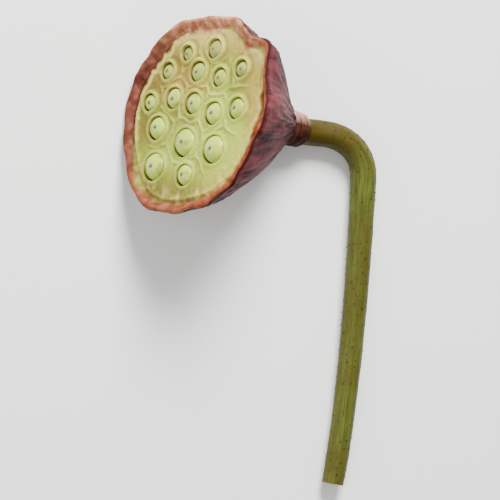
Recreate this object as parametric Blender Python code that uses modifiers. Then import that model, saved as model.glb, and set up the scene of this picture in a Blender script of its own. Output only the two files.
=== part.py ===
"""A lotus seed pod, cut with a length of its stalk and laid down on a table.

Units are metres, +Z is up and the table is the plane z = 0. The pod is drawn in a frame of its own:
+Z points out of the seed face, +X points down towards the table, and the middle of the seed face is
the origin. An empty then turns that frame onto its side, and the stalk is drawn on the table.
"""

import math
import random

import bmesh
import bpy
from mathutils import Matrix, Vector

# Lie of the pod on the table
FACE_ELEVATION = math.radians(27)
FACE_HEADING = math.radians(169)
FLAT_SPOT_DEPTH = 0.0008

# Seed face and the raised rim round it
FACE_RADIUS = 0.0356
FACE_EDGE_LIFT = 0.0005
FACE_SWELL = 0.0005
GROOVE_RADIUS = 0.0369
GROOVE_DEPTH = 0.0003
RIM_RADIUS = 0.0413
RIM_HEIGHT = 0.0027

# Side of the pod, from the rim down to the neck ring
SIDE_LENGTH = 0.0515
SIDE_INSET = 0.0009
SIDE_FULLNESS = 1.3
NECK_RADIUS = 0.008
NECK_SHIFT = -0.0059
PLEAT_COUNT = 16
PLEAT_DEPTH = 0.0006

# Neck ring, with the shallow socket that the stalk grows out of
RING_LENGTH = 0.012
RING_RADIUS = 0.0073
RING_BULGE = 0.0004
CREASE_RADIUS = 0.0064
SOCKET_DEPTH = 0.0022

# Uneven outline of the rim: bearing in degrees, growth and spread in degrees
RIM_LOBES = (
    (62, 0.0040, 24),
    (158, -0.0015, 14),
    (-170, 0.0024, 14),
    (-139, 0.0062, 14),
    (-110, 0.0030, 14),
    (-62, 0.0015, 14),
)

# Seeds, ring by ring: bearing in degrees, distance from the middle of the face, width
MIDDLE_SEEDS = (
    (-68, 0.0048, 0.0094),
    (-175, 0.0111, 0.0098),
)
INNER_SEEDS = (
    (-124, 0.0194, 0.0082),
    (-82, 0.0181, 0.0088),
    (-23, 0.0153, 0.0092),
    (77, 0.0125, 0.0122),
)
OUTER_SEEDS = (
    (-138, 0.0304, 0.0074),
    (-100, 0.0285, 0.0084),
    (-67, 0.0276, 0.0066),
    (-40, 0.0270, 0.0074),
    (-7, 0.0284, 0.0076),
    (19, 0.0220, 0.0102),
    (52, 0.0300, 0.0118),
    (91, 0.0258, 0.0094),
    (137, 0.0204, 0.0120),
    (-171, 0.0244, 0.0092),
)
SEED_TOP = 0.36
SEED_DEPTH = 0.72
SEED_SINK = 0.0012
SEED_LEAN = math.radians(5)
SEED_TIP_RADIUS = 0.0005
SEED_TIP_HEIGHT = 0.0004
LEAN_SEED = 16

# Cells that the seeds sit in, and the raised lip of each
CELL_CLEARANCE = 0.0009
CELL_FLOOR_GAP = 0.0006
CELL_OFFSET = 0.00035
CELL_OPEN_BEARING = math.radians(45)
LIP_WIDTH = 0.0019
LIP_HEIGHT = 0.0024
LIP_SINK = 0.0005

# Stalk, from the socket to the cut end
STEM_RADIUS = 0.0058
STEM_END_RADIUS = 0.0048
STEM_GAP = 0.0003
STEM_HEADING = math.radians(-6)
STEM_LEVEL_RUN = 0.014
STEM_BEND_RADIUS = 0.018
STEM_RUN = 0.135
STEM_DRIFT = -0.014
CHANNEL_COUNT = 7
CHANNEL_RADIUS = 0.0009
CHANNEL_RING = 0.0027
CHANNEL_DEPTH = 0.006

# Facets
POD_SIDES = 80
SIDE_RINGS = 8
CELL_SIDES = 16
SEED_SIDES = 12
STEM_SIDES = 16
OVOID_STEPS = 6
STEM_STEPS = 12


def clear_scene():
    for obj in list(bpy.data.objects):
        bpy.data.objects.remove(obj, do_unlink=True)


def new_collection(name):
    collection = bpy.data.collections.new(name)
    bpy.context.scene.collection.children.link(collection)
    return collection


def new_material(name, colour, roughness):
    material = bpy.data.materials.new(name)
    material.use_nodes = True
    shader = material.node_tree.nodes["Principled BSDF"]
    shader.inputs["Base Color"].default_value = (*colour, 1.0)
    shader.inputs["Roughness"].default_value = roughness
    shader.inputs["Metallic"].default_value = 0.0
    return material


def new_object(name, mesh, collection, parent=None):
    obj = bpy.data.objects.new(name, mesh)
    collection.objects.link(obj)
    obj.parent = parent
    return obj


def mark_as_cutter(obj):
    obj.hide_render = True
    obj.display_type = "WIRE"


def keep_evaluated_mesh(obj):
    """Turn an object's modifiers, or its curve, into its own mesh."""
    evaluated = obj.evaluated_get(bpy.context.evaluated_depsgraph_get())
    return bpy.data.meshes.new_from_object(evaluated)


def bearing_gap(bearing, other):
    """Angle between two bearings, from -pi to pi."""
    return (bearing - other + math.pi) % (2 * math.pi) - math.pi


def rim_growth(bearing):
    """How far the uneven rim stands outside a circle at a bearing."""
    growth = 0.0
    for lobe_bearing, height, spread in RIM_LOBES:
        gap = bearing_gap(bearing, math.radians(lobe_bearing))
        growth += height * math.exp(-((gap / math.radians(spread)) ** 2))
    return growth


def pod_profile():
    """Rings of the pod from the face to the socket: radius, height, share of the rim's outline, pleats."""
    rings = [
        (0.33 * FACE_RADIUS, FACE_SWELL, 0.3, 0.0),
        (0.68 * FACE_RADIUS, 0.0, 0.7, 0.0),
        (0.95 * FACE_RADIUS, 0.0, 0.9, 0.0),
        (FACE_RADIUS, FACE_EDGE_LIFT, 0.9, 0.0),
        (GROOVE_RADIUS, -GROOVE_DEPTH, 0.95, 0.2),
        (RIM_RADIUS - 0.0030, 0.5 * RIM_HEIGHT, 1.0, 0.4),
        (RIM_RADIUS - 0.0014, 0.95 * RIM_HEIGHT, 1.0, 0.6),
        (RIM_RADIUS - 0.0004, 0.85 * RIM_HEIGHT, 1.0, 0.8),
        (RIM_RADIUS, 0.4 * RIM_HEIGHT, 1.0, 1.0),
    ]
    for step in range(SIDE_RINGS + 1):
        rise = 1 - step / SIDE_RINGS
        fullness = 1 - (1 - rise) ** SIDE_FULLNESS
        radius = NECK_RADIUS + (RIM_RADIUS - SIDE_INSET - NECK_RADIUS) * fullness
        height = -0.0015 - (SIDE_LENGTH - 0.0015) * (1 - rise)
        rings.append((radius, height, fullness ** 2, math.sin(math.pi * min(1, 0.15 + rise)) ** 0.5))
    ring_top = -SIDE_LENGTH - 0.0008
    ring_end = -SIDE_LENGTH - RING_LENGTH
    rings += [
        (CREASE_RADIUS, ring_top, 0.0, 0.0),
        (RING_RADIUS, ring_top - 0.0012, 0.0, 0.0),
        (RING_RADIUS + RING_BULGE, (ring_top + ring_end) / 2, 0.0, 0.0),
        (RING_RADIUS, ring_end + 0.0010, 0.0, 0.0),
        (RING_RADIUS - 0.0006, ring_end, 0.0, 0.0),
        (STEM_RADIUS + STEM_GAP, ring_end, 0.0, 0.0),
        (STEM_RADIUS + STEM_GAP, ring_end + SOCKET_DEPTH, 0.0, 0.0),
    ]
    return rings


def loft(name, rings, top, bottom):
    """A closed mesh through rings of points, with a point at each end."""
    build = bmesh.new()
    top_point = build.verts.new(top)
    bottom_point = build.verts.new(bottom)
    loops = [[build.verts.new(point) for point in ring] for ring in rings]
    count = len(loops[0])
    for i in range(count):
        j = (i + 1) % count
        build.faces.new((top_point, loops[0][i], loops[0][j]))
        build.faces.new((bottom_point, loops[-1][j], loops[-1][i]))
        for upper, lower in zip(loops, loops[1:]):
            build.faces.new((upper[i], lower[i], lower[j], upper[j]))
    bmesh.ops.recalc_face_normals(build, faces=build.faces)
    mesh = bpy.data.meshes.new(name)
    build.to_mesh(mesh)
    build.free()
    return mesh


def pod_body(collection, parent):
    """The spongy body: seed face, rim, pleated side, neck ring and socket in one loft."""
    rings = []
    for radius, height, outline, pleat in pod_profile():
        lean = min(1.0, max(0.0, -height / SIDE_LENGTH))
        ring = []
        for i in range(POD_SIDES):
            bearing = 2 * math.pi * i / POD_SIDES
            reach = radius + outline * rim_growth(bearing) * radius / RIM_RADIUS
            reach += pleat * PLEAT_DEPTH * math.cos(PLEAT_COUNT * bearing)
            x = reach * math.cos(bearing)
            y = reach * math.sin(bearing) + NECK_SHIFT * lean
            ring.append((x, y, height))
        rings.append(ring)
    socket_floor = (0, NECK_SHIFT, -SIDE_LENGTH - RING_LENGTH + SOCKET_DEPTH)
    mesh = loft("receptacle", rings, (0, 0, FACE_SWELL), socket_floor)
    return new_object("receptacle", mesh, collection, parent)


def turned_object(name, profile, sides, collection, parent):
    """A solid turned about its own Z axis from a profile that runs from top to bottom."""
    mesh = bpy.data.meshes.new(name)
    points = [(radius, 0, height) for radius, height in profile]
    edges = [(i, i + 1) for i in range(len(points) - 1)]
    mesh.from_pydata(points, edges, [])
    obj = new_object(name, mesh, collection, parent)
    screw = obj.modifiers.new("turn", "SCREW")
    screw.steps = sides
    screw.render_steps = sides
    screw.use_merge_vertices = True
    screw.merge_threshold = 0.00001
    screw.use_smooth_shade = True
    return obj


def ovoid_profile(radius, top, depth):
    """Half outline of an egg shape: its width at height 0, its top and its deeper bottom."""
    points = []
    for step in range(OVOID_STEPS + 1):
        angle = math.pi * (0.5 - step / OVOID_STEPS)
        reach = top if angle > 0 else depth
        points.append((radius * math.cos(angle), reach * math.sin(angle)))
    points[0] = (0.0, top)
    points[-1] = (0.0, -depth)
    return points


def seed_profile(radius):
    """A nut with the small dark nub of its stigma standing on top."""
    top = 2 * radius * SEED_TOP
    outline = ovoid_profile(radius, top, 2 * radius * SEED_DEPTH)
    shoulder = top * math.sqrt(1 - (SEED_TIP_RADIUS / radius) ** 2)
    nub = [
        (0.0, top + SEED_TIP_HEIGHT),
        (SEED_TIP_RADIUS, top + SEED_TIP_HEIGHT),
        (SEED_TIP_RADIUS, shoulder),
    ]
    return nub + outline[1:]


def cell_profile(radius):
    """The egg-shaped cell round a nut, with the same clearance above and below."""
    top = 2 * radius * SEED_TOP + CELL_CLEARANCE + SEED_TIP_HEIGHT
    depth = 2 * radius * SEED_DEPTH + CELL_FLOOR_GAP
    return ovoid_profile(radius + CELL_CLEARANCE, top, depth)


def lip_profile(radius):
    """The swelling of the face round a cell."""
    return ovoid_profile(radius + CELL_CLEARANCE + LIP_WIDTH, LIP_HEIGHT, LIP_HEIGHT)


def seed_sites():
    """Place, lean and radius of each seed in the pod's frame, from the middle of the face outwards."""
    draw = random.Random(LEAN_SEED)
    sites = []
    for bearing, distance, width in MIDDLE_SEEDS + INNER_SEEDS + OUTER_SEEDS:
        x = distance * math.cos(math.radians(bearing))
        y = distance * math.sin(math.radians(bearing))
        lean = (draw.uniform(-SEED_LEAN, SEED_LEAN), draw.uniform(-SEED_LEAN, SEED_LEAN), 0)
        sites.append((Vector((x, y, -SEED_SINK)), lean, width / 2))
    return sites


def add_lips(body, sites, parent):
    """Join a raised lip round every cell to the body."""
    lips = new_collection("lips")
    for number, (place, _, radius) in enumerate(sites, 1):
        lip = turned_object(f"lip_{number:02d}", lip_profile(radius), CELL_SIDES, lips, parent)
        lip.location = place + cell_offset() + Vector((0, 0, SEED_SINK - LIP_SINK))
    union = body.modifiers.new("lips", "BOOLEAN")
    union.operation = "UNION"
    union.operand_type = "COLLECTION"
    union.collection = lips
    body.data = keep_evaluated_mesh(body)
    body.modifiers.clear()
    for lip in list(lips.objects):
        bpy.data.objects.remove(lip, do_unlink=True)
    bpy.data.collections.remove(lips)


def cell_offset():
    """Each cell is a little off its seed, so that a gap opens on one side."""
    return CELL_OFFSET * Vector((math.cos(CELL_OPEN_BEARING), math.sin(CELL_OPEN_BEARING), 0))


def cut_cells(body, sites, cutters, parent):
    """Cut the cell of every seed out of the face."""
    cells = bpy.data.collections.new("cells")
    cutters.children.link(cells)
    for number, (place, lean, radius) in enumerate(sites, 1):
        cell = turned_object(f"cell_{number:02d}", cell_profile(radius), CELL_SIDES, cells, parent)
        cell.location = place + cell_offset()
        cell.rotation_euler = lean
        mark_as_cutter(cell)
    cut = body.modifiers.new("cells", "BOOLEAN")
    cut.operation = "DIFFERENCE"
    cut.operand_type = "COLLECTION"
    cut.collection = cells


def add_seeds(sites, collection, parent, material):
    seeds = []
    for number, (place, lean, radius) in enumerate(sites, 1):
        seed = turned_object(f"seed_{number:02d}", seed_profile(radius), SEED_SIDES, collection, parent)
        seed.location = place
        seed.rotation_euler = lean
        seed.data.materials.append(material)
        seeds.append(seed)
    return seeds


def lay_down(frame, body):
    """Turn the pod's frame onto its side and sink its lowest point a little into the table."""
    heading = Matrix.Rotation(FACE_HEADING, 4, "Z")
    tip = Matrix.Rotation(math.pi / 2 - FACE_ELEVATION, 4, "Y")
    frame.matrix_world = heading @ tip
    bpy.context.view_layer.update()
    lowest = min((frame.matrix_world @ vertex.co).z for vertex in body.data.vertices)
    frame.location.z = -lowest - FLAT_SPOT_DEPTH
    bpy.context.view_layer.update()


def flatten_on_table(body, cutters):
    """Cut the flat spot that the pod lies on."""
    block = bpy.data.meshes.new("table_block")
    build = bmesh.new()
    bmesh.ops.create_cube(build, size=0.2, matrix=Matrix.Translation((0, 0, -0.1)))
    build.to_mesh(block)
    build.free()
    table = new_object("table_block", block, cutters)
    mark_as_cutter(table)
    cut = body.modifiers.new("flat_spot", "BOOLEAN")
    cut.operation = "DIFFERENCE"
    cut.object = table


def stem_route(frame):
    """Four control points of the stalk: point, direction, handle length and radius."""
    neck = frame.matrix_world @ Vector((0, NECK_SHIFT, -SIDE_LENGTH - RING_LENGTH + SOCKET_DEPTH - STEM_GAP))
    down_axis = frame.matrix_world.to_3x3() @ Vector((0, 0, -1))
    level = Vector((math.cos(STEM_HEADING), math.sin(STEM_HEADING), 0))
    settled = neck + STEM_LEVEL_RUN * level
    settled.z = STEM_RADIUS
    turned = settled + STEM_BEND_RADIUS * Vector((1, -1, 0))
    turned.z = STEM_RADIUS
    end = turned + Vector((STEM_DRIFT, -STEM_RUN, 0))
    end.z = STEM_END_RADIUS
    along = Vector((0, -1, 0))
    finish = Vector((2 * STEM_DRIFT, -STEM_RUN, 0)).normalized()
    return (
        (neck, down_axis, STEM_LEVEL_RUN * 0.4, STEM_RADIUS),
        (settled, level, STEM_BEND_RADIUS * 0.5, STEM_RADIUS),
        (turned, along, STEM_BEND_RADIUS * 0.6, STEM_RADIUS),
        (end, finish, STEM_RUN * 0.35, STEM_END_RADIUS),
    )


def add_stem(frame, collection, cutters, material):
    """The hooked stalk: a tapering tube with the air channels of its cut end."""
    curve = bpy.data.curves.new("stem_route", "CURVE")
    curve.dimensions = "3D"
    curve.twist_mode = "Z_UP"
    curve.resolution_u = STEM_STEPS
    curve.bevel_depth = 1.0
    curve.bevel_resolution = (STEM_SIDES - 4) // 2
    curve.use_fill_caps = True
    spline = curve.splines.new("BEZIER")
    route = stem_route(frame)
    spline.bezier_points.add(len(route) - 1)
    spline.radius_interpolation = "EASE"
    for point, (place, direction, handle, radius) in zip(spline.bezier_points, route):
        point.handle_left_type = "FREE"
        point.handle_right_type = "FREE"
        point.co = place
        point.handle_left = place - handle * direction
        point.handle_right = place + handle * direction
        point.radius = radius
    tube = new_object("stem_route", curve, collection)
    mesh = keep_evaluated_mesh(tube)
    build = bmesh.new()
    build.from_mesh(mesh)
    bmesh.ops.remove_doubles(build, verts=build.verts, dist=0.00001)
    bmesh.ops.recalc_face_normals(build, faces=build.faces)
    build.to_mesh(mesh)
    build.free()
    bpy.data.objects.remove(tube, do_unlink=True)
    stem = new_object("stem", mesh, collection)
    mesh.materials.clear()
    mesh.materials.append(material)
    cut_channels(stem, route[-1][0], route[-1][1], cutters)
    return stem


def cut_channels(stem, end, direction, cutters):
    """Open the ring of air channels in the stalk's cut end."""
    channels = bpy.data.collections.new("channels")
    cutters.children.link(channels)
    aim = direction.to_track_quat("Z", "Y").to_matrix().to_4x4()
    for number in range(CHANNEL_COUNT):
        bearing = 2 * math.pi * number / CHANNEL_COUNT
        offset = Vector((CHANNEL_RING * math.cos(bearing), CHANNEL_RING * math.sin(bearing), 0))
        mesh = bpy.data.meshes.new("channel")
        build = bmesh.new()
        bmesh.ops.create_cone(
            build,
            cap_ends=True,
            segments=8,
            radius1=CHANNEL_RADIUS,
            radius2=CHANNEL_RADIUS,
            depth=2 * CHANNEL_DEPTH,
            matrix=Matrix.Translation(offset),
        )
        build.to_mesh(mesh)
        build.free()
        channel = new_object(f"channel_{number + 1}", mesh, channels)
        channel.matrix_world = Matrix.Translation(end) @ aim
        mark_as_cutter(channel)
    cut = stem.modifiers.new("channels", "BOOLEAN")
    cut.operation = "DIFFERENCE"
    cut.operand_type = "COLLECTION"
    cut.collection = channels


def centre_on_origin(root, objects):
    """Move everything so that the middle of the part's footprint is at the origin."""
    bpy.context.view_layer.update()
    depsgraph = bpy.context.evaluated_depsgraph_get()
    corners = []
    for obj in objects:
        evaluated = obj.evaluated_get(depsgraph)
        corners += [evaluated.matrix_world @ vertex.co for vertex in evaluated.data.vertices]
    middle_x = (min(c.x for c in corners) + max(c.x for c in corners)) / 2
    middle_y = (min(c.y for c in corners) + max(c.y for c in corners)) / 2
    root.location = (-middle_x, -middle_y, 0)


def shade_round(obj):
    obj.data.shade_smooth()
    obj.data.set_sharp_from_angle(angle=math.radians(50))


def main():
    clear_scene()
    parts = new_collection("lotus_pod")
    cutters = new_collection("cutters")
    root = new_object("lotus_pod_root", None, parts)
    frame = new_object("pod_frame", None, parts)
    skin = new_material("pod_skin", (0.42, 0.40, 0.16), 0.55)
    nut = new_material("seed_skin", (0.42, 0.55, 0.17), 0.4)
    stalk = new_material("stalk_skin", (0.19, 0.18, 0.04), 0.5)

    body = pod_body(parts, frame)
    sites = seed_sites()
    add_lips(body, sites, frame)
    lay_down(frame, body)
    cut_cells(body, sites, cutters, frame)
    flatten_on_table(body, cutters)
    body.data.materials.clear()
    body.data.materials.append(skin)
    shade_round(body)
    seeds = add_seeds(sites, parts, frame, nut)
    stem = add_stem(frame, parts, cutters, stalk)
    shade_round(stem)
    centre_on_origin(root, [body, stem] + seeds)
    bpy.context.view_layer.update()
    for obj in [frame, stem] + list(cutters.all_objects):
        if obj.parent is None:
            obj.parent = root


main()
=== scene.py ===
"""The finished looks of a lotus seed pod that lies on a table with a length of its stalk.

Sizes are metres. The pod is shaped in a frame of its own: +Z points out of the seed face, +X points
down towards the table, and the origin is the middle of the seed face. Bearings run round that face
from +X. The camera sees bearing 0 on the left, 90 degrees at the bottom and 180 degrees on the right.
"""

import math
import random

import bpy
import numpy as np
from mathutils import Euler, Matrix, Vector, noise
from mathutils.geometry import delaunay_2d_cdt


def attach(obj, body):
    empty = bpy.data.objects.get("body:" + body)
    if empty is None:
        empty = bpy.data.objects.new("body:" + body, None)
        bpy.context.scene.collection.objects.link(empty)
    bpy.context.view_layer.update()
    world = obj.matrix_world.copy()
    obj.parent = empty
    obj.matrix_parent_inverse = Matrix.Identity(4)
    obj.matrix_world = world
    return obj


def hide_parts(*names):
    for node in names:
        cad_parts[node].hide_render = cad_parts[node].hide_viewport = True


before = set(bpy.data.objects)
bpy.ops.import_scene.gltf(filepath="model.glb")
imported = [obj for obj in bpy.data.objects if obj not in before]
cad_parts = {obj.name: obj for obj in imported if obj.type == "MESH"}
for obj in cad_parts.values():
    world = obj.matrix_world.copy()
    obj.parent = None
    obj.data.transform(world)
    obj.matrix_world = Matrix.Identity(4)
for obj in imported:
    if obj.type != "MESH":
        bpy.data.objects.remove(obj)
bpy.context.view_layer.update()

# Lie of the pod on the table
FACE_ELEVATION = math.radians(27)
FACE_HEADING = math.radians(169)
FACE_MIDDLE = Vector((-0.03527, 0.05920, 0.03709))

# Seed face and the raised rim round it
FACE_RADIUS = 0.0356
FACE_EDGE_LIFT = 0.0005
FACE_SWELL = 0.0005
FACE_SHARE = 0.9
SWELL_END = 0.68
EDGE_LIFT_FROM = 0.92
GROOVE_RADIUS = 0.0369
GROOVE_DEPTH = 0.0003
RIM_RADIUS = 0.0413
RIM_HEIGHT = 0.0027

# Side of the pod, from the rim down to the neck ring
SIDE_LENGTH = 0.0515
SIDE_DROP = 0.0015
SIDE_INSET = 0.0009
SIDE_FULLNESS = 1.3
SIDE_STEPS = 8
NECK_RADIUS = 0.008
NECK_SHIFT = -0.0059
PLEAT_COUNT = 16
PLEAT_DEPTH = 0.0004

# Neck ring, with the shallow socket that the stalk grows out of
RING_LENGTH = 0.012
RING_TOP = -SIDE_LENGTH - 0.0008
RING_END = -SIDE_LENGTH - RING_LENGTH
RING_RADIUS = 0.0073
RING_BULGE = 0.0004
CREASE_RADIUS = 0.0064
SOCKET_DEPTH = 0.0022
STEM_RADIUS = 0.0058
STEM_GAP = 0.0003

# Key rings over the rim: radius, height, share of the uneven outline, share of the pleats
RIM_RINGS = (
    (FACE_RADIUS, FACE_EDGE_LIFT, FACE_SHARE, 0.0),
    (GROOVE_RADIUS, -GROOVE_DEPTH, 0.95, 0.2),
    (RIM_RADIUS - 0.0030, 0.50 * RIM_HEIGHT, 1.0, 0.4),
    (RIM_RADIUS - 0.0014, 0.95 * RIM_HEIGHT, 1.0, 0.6),
    (RIM_RADIUS - 0.0004, 0.85 * RIM_HEIGHT, 1.0, 0.8),
    (RIM_RADIUS, 0.40 * RIM_HEIGHT, 1.0, 1.0),
)

# Key rings from the crease above the neck ring to the bottom of the socket: radius and height
NECK_RINGS = (
    (CREASE_RADIUS, RING_TOP),
    (RING_RADIUS, RING_TOP - 0.0012),
    (RING_RADIUS + RING_BULGE, (RING_TOP + RING_END) / 2),
    (RING_RADIUS, RING_END + 0.0010),
    (RING_RADIUS - 0.0006, RING_END),
    (STEM_RADIUS + STEM_GAP, RING_END),
    (STEM_RADIUS + STEM_GAP, RING_END + SOCKET_DEPTH),
)

# Uneven outline of the rim: bearing in degrees, growth, spread in degrees. The last four are small nicks
# and bumps of about 1 mm or less.
RIM_LOBES = (
    (62, 0.0040, 24), (158, -0.0015, 14), (-170, 0.0024, 14), (-139, 0.0062, 14), (-110, 0.0030, 14),
    (-62, 0.0015, 14), (-129, -0.0011, 5), (-140, 0.0011, 5), (172, 0.0006, 4), (-158, -0.0006, 5),
)

# Seeds: bearing in degrees, distance from the middle of the face, width
MIDDLE_SEEDS = ((-68, 0.0048, 0.0094), (-175, 0.0111, 0.0098))
INNER_SEEDS = ((-124, 0.0194, 0.0082), (-82, 0.0181, 0.0088), (-23, 0.0153, 0.0092), (77, 0.0125, 0.0122))
OUTER_SEEDS = (
    (-138, 0.0304, 0.0074), (-100, 0.0285, 0.0084), (-67, 0.0276, 0.0066), (-40, 0.0270, 0.0074),
    (-7, 0.0284, 0.0076), (19, 0.0220, 0.0102), (52, 0.0300, 0.0118), (91, 0.0258, 0.0094),
    (137, 0.0204, 0.0120), (-171, 0.0244, 0.0092),
)
SEED_TOP = 0.36
SEED_DEPTH = 0.72
SEED_SINK = 0.0012
SEED_LEAN = math.radians(5)
SEED_TIP_RADIUS = 0.0005
SEED_TIP_HEIGHT = 0.0004
SEED_UNEVENNESS = 0.00025
LEAN_SEED = 16
DULL_FROM = 0.026

# Cells that the seeds sit in, and the raised lip of each
CELL_FLOOR_GAP = 0.0006
MOUTH_CLEARANCE = 0.00015
MOUTH_OFFSET = 0.0005
WALL_CLEARANCE = 0.00045
WALL_OFFSET = 0.0001
MOUTH_BEARING = math.radians(5)
MOUTH_BEARING_TURN = math.radians(40)
MOUTH_TURN_REACH = 0.02
EGG_TAPER = 0.16
LIP_WIDTH = 0.0019
LIP_HEIGHT = 0.0024
LIP_SINK = 0.0005
LIP_RIM_SINK = 0.0003
LIP_BLEND = 0.0008
LIP_ROLL_WIDTH = 0.0007
LIP_ROLL_DEPTH = 0.0004
# PIT_START and LEFT_WALL_SHADE set the painted shade down the cell walls.
PIT_START = 0.001
LEFT_WALL_SHADE = 0.4

# Stalk, from the socket to the cut end. A handle is a share of the run that it bends.
STEM_END_RADIUS = 0.0048
STEM_HEADING = math.radians(-6)
STEM_LEVEL_RUN = 0.014
STEM_BEND_RADIUS = 0.018
STEM_RUN = 0.135
STEM_DRIFT = -0.014
STEM_HANDLES = (0.4, 0.5, 0.6, 0.35)
STEM_LUMPS_A_METRE = 70.0
STEM_LUMPS_FROM_MM = 3.0
STEM_LUMPS_FULL_MM = 15.0
CHANNEL_SIDES = 14
BARE_NECK_MM = 12.0
CAP_FACING = 0.6
PRICKLE_DENSITY = 120000.0
PRICKLE_POINT = 0.00006
PRICKLE_SIDES = 6
PRICKLE_SIZES = (0.5, 1.1)

# Inputs of the stalk's tree. Lengths are metres.
STALK_SIZES = {
    "Step": 0.0009,
    "Sides": 44,
    "Ribs": 9,
    "Rib depth": 0.00008,
    "Lump depth": 0.0006,
    "Channels": 7,
    "Channel radius": 0.0009,
    "Channel ring": 0.0027,
    "Channel depth": 0.006,
    "Prickle gap": 0.0026,
    "Prickle radius": 0.00034,
    "Prickle length": 0.0005,
    "Seed": 4,
}

# Small relief of the living skin: depths, and the size of one feature across
OUTLINE_WAVES = ((0.0005, 0.30), (0.00015, 0.10))
FACE_LUMPS = ((0.00050, 0.0060), (0.00014, 0.0016))
LIP_UNEVENNESS = 0.35
LIP_UNEVEN_SIZE = 0.005
WEB_HEIGHT = 0.00070
WEB_WIDTH = 0.0011
WEB_WANDER = 0.0016
WEB_WANDER_SIZE = 0.006
WEB_OFF_LIPS = (0.0012, 0.0030)
WEB_FADE = (0.72, 0.92)
RAY_HEIGHT = 0.00045
RAY_WIDTH = 0.075
RAY_MIDDLE = 0.3
RAY_START = (0.80, 0.95)
RIM_FOLD_DEPTH = 0.00035
RIM_FOLD_WIDTH = 0.085
RIM_FOLD_SLANT = 0.15
RIM_FOLDS_FROM = 0.0006
RIM_FADE = 0.003
SIDE_FADE_IN = 0.004
SIDE_FADE_OUT = 0.006
NECK_NARROWING = 0.7
CREASE_DEPTH = 0.00126
CREASE_WIDTH = 0.08
CREASE_MIDDLE = 0.4
CREASE_SLANT = 4
NET_DEPTH = 0.00045
NET_SIZE = 0.0026
NET_MIDDLE = 0.35
NET_GROWTH = 0.55
NET_STRETCH = 0.6
RING_LINE_DEPTH = 0.00026
RING_LINE_SPACING = 0.0021
RING_LINES_FROM = 0.0012
RING_LINES_FULL = 0.0030
RING_FADE_OUT = 0.002

# Where the colours change, by bearing in degrees: millimetres out from the face's edge, or a share
RIM_STARTS = (
    (0, 0.5), (-18, -0.6), (-40, -1.4), (-65, -0.6), (-88, -1.2), (-100, -0.4), (-110, 1.4), (-120, -0.6),
    (-129, -0.8), (-135, 0.4), (-141, 2.4), (-150, 3.6), (-159, 2.6), (-165, -0.6), (-175, 0.2), (174, -0.7),
    (164, 0.6), (150, 1.1), (140, 1.2), (118, 1.0), (100, 0.6), (80, 0.8), (64, 1.4), (48, 2.6), (25, 1.0),
)
RIM_SOFTNESS = (
    (0, 0.5), (-60, 0.6), (-80, 1.4), (-112, 3.0), (-137, 3.0), (-150, 1.4), (175, 0.8), (130, 1.2),
    (90, 2.6), (45, 2.4),
)
SIDE_STARTS = ((0, 8.6), (-90, 8.0), (-140, 6.3), (180, 5.9), (140, 6.9), (90, 7.8), (45, 8.2))
CRIMSON = (
    (0, 0.9), (-20, 0.95), (-45, 0.6), (-62, 0.15), (-75, 0.0), (-105, 0.0), (-135, 0.3), (180, 0.2),
    (90, 0.05), (50, 0.25), (25, 0.7),
)
ORANGE = (
    (0, 0.0), (50, 0.3), (95, 0.35), (125, 0.75), (150, 1.0), (180, 0.9), (-140, 0.5), (-105, 0.1),
    (-60, 0.0),
)
RED_LINE = ((0, 0.2), (45, 0.8), (90, 0.9), (135, 0.5), (180, 0.0), (-60, 0.2))
PALE_RIM = (
    (0, 0.0), (-45, 0.15), (-58, 0.8), (-85, 1.0), (-125, 1.0), (-145, 0.3), (180, 0.0), (95, 0.1), (50, 0.0),
)
CREAM_EDGE = ((0, 1.0), (-55, 0.9), (-90, 0.4), (-130, 0.6), (180, 0.8), (130, 0.5), (90, 0.1), (45, 0.3))
# Share of the painted shade in the valley between the face's edge and the rim, by bearing
VALLEY_SHADE_SHARE = ((0, 1.0), (-50, 0.9), (-85, 0.2), (-120, 0.1), (180, 0.2), (90, 0.15), (50, 0.3))
WARM_MARGIN = ((0, 0.1), (-60, 0.25), (-100, 0.4), (-140, 0.7), (180, 0.8), (130, 0.9), (95, 0.4), (50, 0.2))

# Soft patches of colour on the face: bearing in degrees, distance from the middle, reach
WARM_PATCHES = (
    (-58, 0.026, 0.011), (-98, 0.036, 0.011), (-135, 0.039, 0.010), (-165, 0.036, 0.008), (170, 0.036, 0.007),
    (140, 0.034, 0.008), (118, 0.030, 0.006), (-35, 0.024, 0.008), (-78, 0.012, 0.006),
)
OLIVE_PATCHES = (
    (84, 0.034, 0.013), (62, 0.036, 0.008), (104, 0.032, 0.007), (12, 0.030, 0.008), (-18, 0.030, 0.006),
    (-5, 0.008, 0.006), (40, 0.018, 0.005), (-48, 0.029, 0.006), (-70, 0.020, 0.004),
)
PALE_PATCHES = ((-88, 0.033, 0.007), (-108, 0.037, 0.007), (-66, 0.035, 0.005), (-140, 0.042, 0.006))
FRESH_PATCHES = (
    (125, 0.020, 0.015), (60, 0.020, 0.010), (175, 0.018, 0.010), (148, 0.027, 0.008), (-140, 0.014, 0.006),
    (159, 0.024, 0.007),
)

# Bands of colour along a cell's mouth or the rim: millimetres to the middle of the band, and its spread. The
# lip's band is a painted highlight; the moat's, the mouth's, the valley's and the band under the rim are
# painted shade.
LIP_HIGHLIGHT_BAND = (1.0, 0.7)
MOAT_SHADE_BAND = (2.6, 0.9)
MOUTH_SHADE_BAND = (0.0, 0.5)
CREAM_BAND = (-1.1, 0.8)
VALLEY_SHADE_BAND = (0.7, 1.0)
UNDER_RIM_SHADE_BAND = (0.5, 0.9)
RED_BAND = (3.6, 5.8)
FINGER_WIDTH = 0.035
RAY_SLANT = 0.01
FINGER_SLANT = 0.004

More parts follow.
